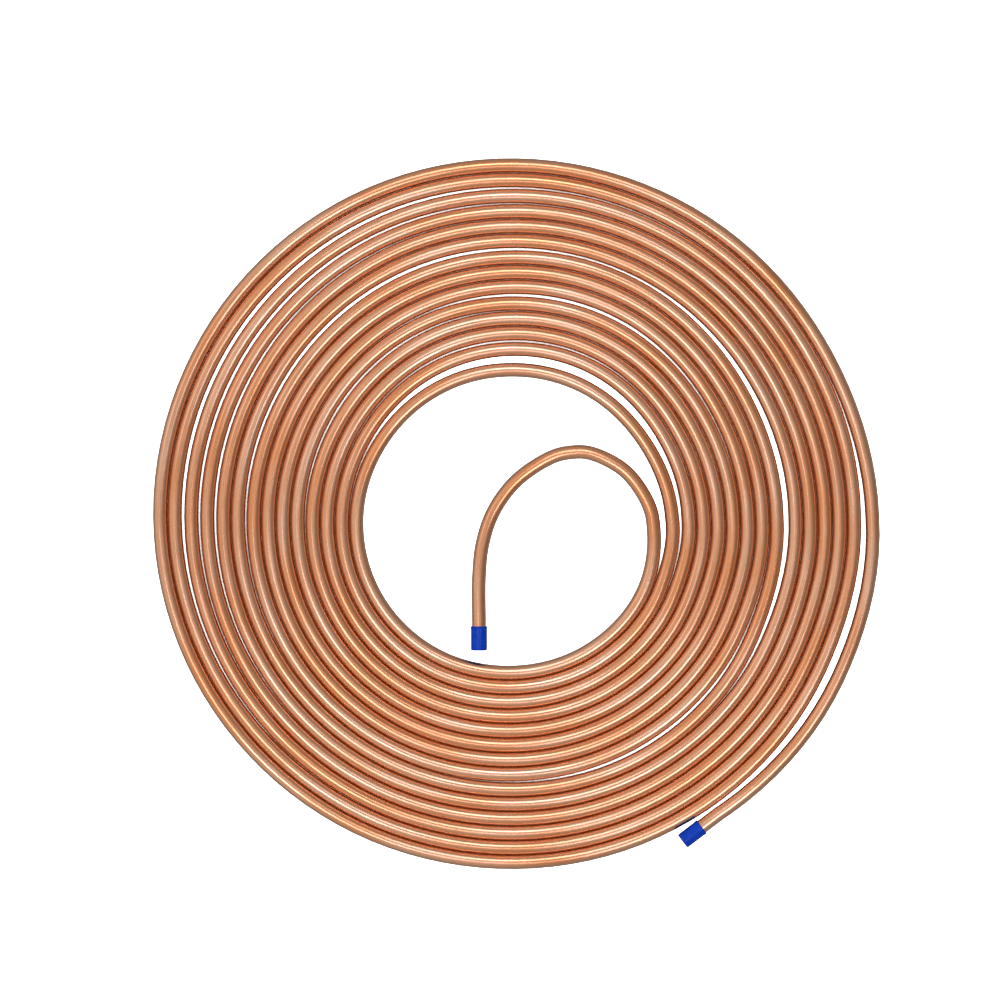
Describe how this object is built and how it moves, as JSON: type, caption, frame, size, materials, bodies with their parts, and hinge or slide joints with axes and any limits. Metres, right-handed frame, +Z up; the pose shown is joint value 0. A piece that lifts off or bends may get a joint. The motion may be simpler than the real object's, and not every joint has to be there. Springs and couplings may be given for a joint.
{
  "type": "copper tube coil",
  "caption": "Bare soft copper tube wound in a flat single-layer spiral coil, with its inner tail bent into the open middle and a push-on plastic cap on each end.",
  "frame": {"origin": "on the floor under the middle of the coil's outline", "axes": "+Z up, square to the flat coil; +X towards the side where the inner tail leaves the coil; -Y along the tail's straight leg"},
  "size_m": [0.242, 0.2368, 0.0056],
  "materials": {
    "copper": "bright drawn copper",
    "cap_plastic": "soft moulded vinyl"
  },
  "bodies": {
    "root": {"copper_tube": "copper", "inner_end_cap": "cap_plastic", "outer_end_cap": "cap_plastic"}
  },
  "joints": []
}
